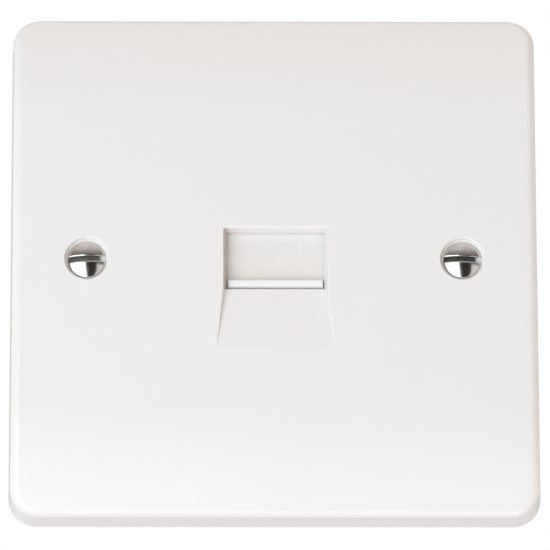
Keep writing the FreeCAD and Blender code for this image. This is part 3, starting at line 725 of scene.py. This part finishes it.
def step(value, lo, hi):
    n = t.nodes.new("ShaderNodeMapRange")
    n.interpolation_type = "SMOOTHSTEP"
    t.links.new(value, n.inputs["Value"])
    n.inputs["From Min"].default_value, n.inputs["From Max"].default_value = lo, hi
    return n.outputs["Result"]


def heights(stops):
    """Colour that depends only on height: stops are (height -1..1, colour)."""
    cr = t.nodes.new("ShaderNodeValToRGB")
    cr.color_ramp.interpolation = "LINEAR"
    el = cr.color_ramp.elements
    while len(el) < len(stops):
        el.new(0.5)
    for i, (h, c) in enumerate(stops):
        el[i].position = (h + 1) / 2
        el[i].color = (*c, 1)
    mr = t.nodes.new("ShaderNodeMapRange")
    mr.inputs["From Min"].default_value, mr.inputs["From Max"].default_value = -1.0, 1.0
    t.links.new(direction.outputs[2], mr.inputs["Value"])
    t.links.new(mr.outputs["Result"], cr.inputs[0])
    return cr.outputs[0]


def blend(fac, a, b):
    n = t.nodes.new("ShaderNodeMix")
    n.data_type = "RGBA"
    t.links.new(fac, n.inputs[0])
    for k, v in ((6, a), (7, b)):
        if isinstance(v, tuple):
            n.inputs[k].default_value = (*v, 1)
        else:
            t.links.new(v, n.inputs[k])
    return n.outputs[2]


def sky(colour):
    bg = t.nodes.new("ShaderNodeBackground")
    if isinstance(colour, tuple):
        bg.inputs[0].default_value = (*colour, 1)
    else:
        t.links.new(colour, bg.inputs[0])
    return bg.outputs[0]


behind = step(direction.outputs[1], 0.0, 0.10)
BACKDROP = [(-1.0, (0.30, 0.30, 0.30)), (-0.30, (0.40, 0.40, 0.40)), (-0.18, (1.25, 1.25, 1.24)), (0.46, (1.25, 1.25, 1.24)), (0.62, (0.25, 0.25, 0.25)), (1.0, (0.25, 0.25, 0.25))]
ROOM = sky(blend(behind, heights([
    (-1.0, (0.0, 0.0, 0.0)), (0.20, (0.02, 0.02, 0.02)), (0.50, (0.16, 0.14, 0.13)), (0.62, (1.22, 1.08, 1.03)), (1.0, (1.27, 1.12, 1.07)),
]), heights(BACKDROP)))

around = t.nodes.new("ShaderNodeMath")
around.operation = "ARCTAN2"
flip = t.nodes.new("ShaderNodeMath")
flip.operation = "MULTIPLY"
t.links.new(direction.outputs[1], flip.inputs[0])
flip.inputs[1].default_value = -1.0
t.links.new(direction.outputs[0], around.inputs[0])
t.links.new(flip.outputs[0], around.inputs[1])
right_wall = step(around.outputs[0], math.radians(26), math.radians(29))
front = heights([
    (-1.0, (0.03, 0.027, 0.025)), (0.10, (0.030, 0.027, 0.025)), (0.40, (0.08, 0.073, 0.068)), (0.60, (0.27, 0.252, 0.243)),
    (0.72, (0.52, 0.49, 0.48)), (0.88, (0.80, 0.77, 0.76)), (1.0, (0.95, 0.92, 0.91)),
])
side = heights([
    (-1.0, (0.80, 0.78, 0.77)), (0.02, (0.80, 0.78, 0.77)), (0.16, (0.05, 0.045, 0.042)), (0.40, (0.08, 0.073, 0.068)),
    (0.60, (0.27, 0.252, 0.243)), (0.72, (0.52, 0.49, 0.48)), (0.88, (0.80, 0.77, 0.76)), (1.0, (0.95, 0.92, 0.91)),
])
MIRRORED = sky(blend(behind, blend(right_wall, front, side), heights([
    (-1.0, (0.20, 0.20, 0.20)), (-0.30, (0.25, 0.25, 0.25)), (-0.10, (0.45, 0.45, 0.45)), (0.46, (0.45, 0.45, 0.45)), (0.72, (0.52, 0.50, 0.49)), (1.0, (0.95, 0.92, 0.91)),
])))
SEEN = sky((1.0, 1.0, 1.0))
path = t.nodes.new("ShaderNodeLightPath")
m1 = t.nodes.new("ShaderNodeMixShader")
m2 = t.nodes.new("ShaderNodeMixShader")
out = t.nodes.new("ShaderNodeOutputWorld")
t.links.new(path.outputs["Is Glossy Ray"], m1.inputs[0])
t.links.new(ROOM, m1.inputs[1])
t.links.new(MIRRORED, m1.inputs[2])
t.links.new(path.outputs["Is Camera Ray"], m2.inputs[0])
t.links.new(m1.outputs[0], m2.inputs[1])
t.links.new(SEEN, m2.inputs[2])
t.links.new(m2.outputs[0], out.inputs[0])
floor.visible_glossy = False


def softbox(name, az, el, dist, w, h, radiance, glossy=True):
    """Rectangular soft light aimed at the part. Azimuth 0 is straight in front, positive to the viewer's right."""
    a, e = math.radians(az), math.radians(el)
    d = Vector((math.sin(a) * math.cos(e), -math.cos(a) * math.cos(e), math.sin(e)))
    top = max(radiance)
    li = bpy.data.lights.new(name, "AREA")
    li.shape = "RECTANGLE"
    li.size, li.size_y = w, h
    li.energy = top * math.pi * w * h
    li.color = tuple(c / top for c in radiance)
    ob = bpy.data.objects.new(name, li)
    ob.location = d * dist
    ob.rotation_mode = "QUATERNION"
    ob.rotation_quaternion = (-d).to_track_quat("-Z", "Y")
    ob.visible_camera = False
    ob.visible_glossy = glossy
    scene.collection.objects.link(ob)
    return ob


KEY = softbox("key_left", -26.5, -13, 1.2, 0.94, 1.47, (2.18, 2.39, 2.48))
KEY_EDGE = softbox("key_left_edge", -58, -13, 1.3, 0.50, 1.33, (0.62, 0.72, 0.76))
RIGHT = softbox("reflector_right", 48, -10, 0.75, 0.30, 0.55, (0.76, 0.58, 0.48), glossy=False)
TABLE = softbox("table_glow", 0, -58, 0.75, 0.70, 0.35, (1.55, 1.50, 1.50))
RIM_L = softbox("rim_left", -104, 0, 1.2, 0.7, 1.2, (0.50, 0.50, 0.50))
RIM_R = softbox("rim_right", 112, 0, 1.2, 0.8, 1.2, (1.15, 1.22, 1.24), glossy=False)

# ------------------------------------------------------------------ camera
CAM_EL, CAM_AZ, CAM_D = -19.4, -0.7, 1.200
CAM_LENS = 486.07
PAN_X, PAN_Y = 0.162 * MM, 0.205 * MM
ROLL = 0.15
cam_data = bpy.data.cameras.new("camera")
cam = bpy.data.objects.new("camera", cam_data)
scene.collection.objects.link(cam)
cam_data.sensor_width = 36.0
cam_data.lens = CAM_LENS
cam_data.dof.use_dof = False
cam_data.clip_start, cam_data.clip_end = 0.05, 30.0
a, e = math.radians(CAM_AZ), math.radians(CAM_EL)
back = Vector((math.sin(a) * math.cos(e), -math.cos(a) * math.cos(e), math.sin(e)))
q = (-back).to_track_quat("-Z", "Y")
rot = q.to_matrix() @ Matrix.Rotation(math.radians(-ROLL), 3, "Z")
cam.rotation_mode = "QUATERNION"
cam.rotation_quaternion = rot.to_quaternion()
cam.location = back * CAM_D + rot @ Vector((PAN_X, PAN_Y, 0))
scene.camera = cam
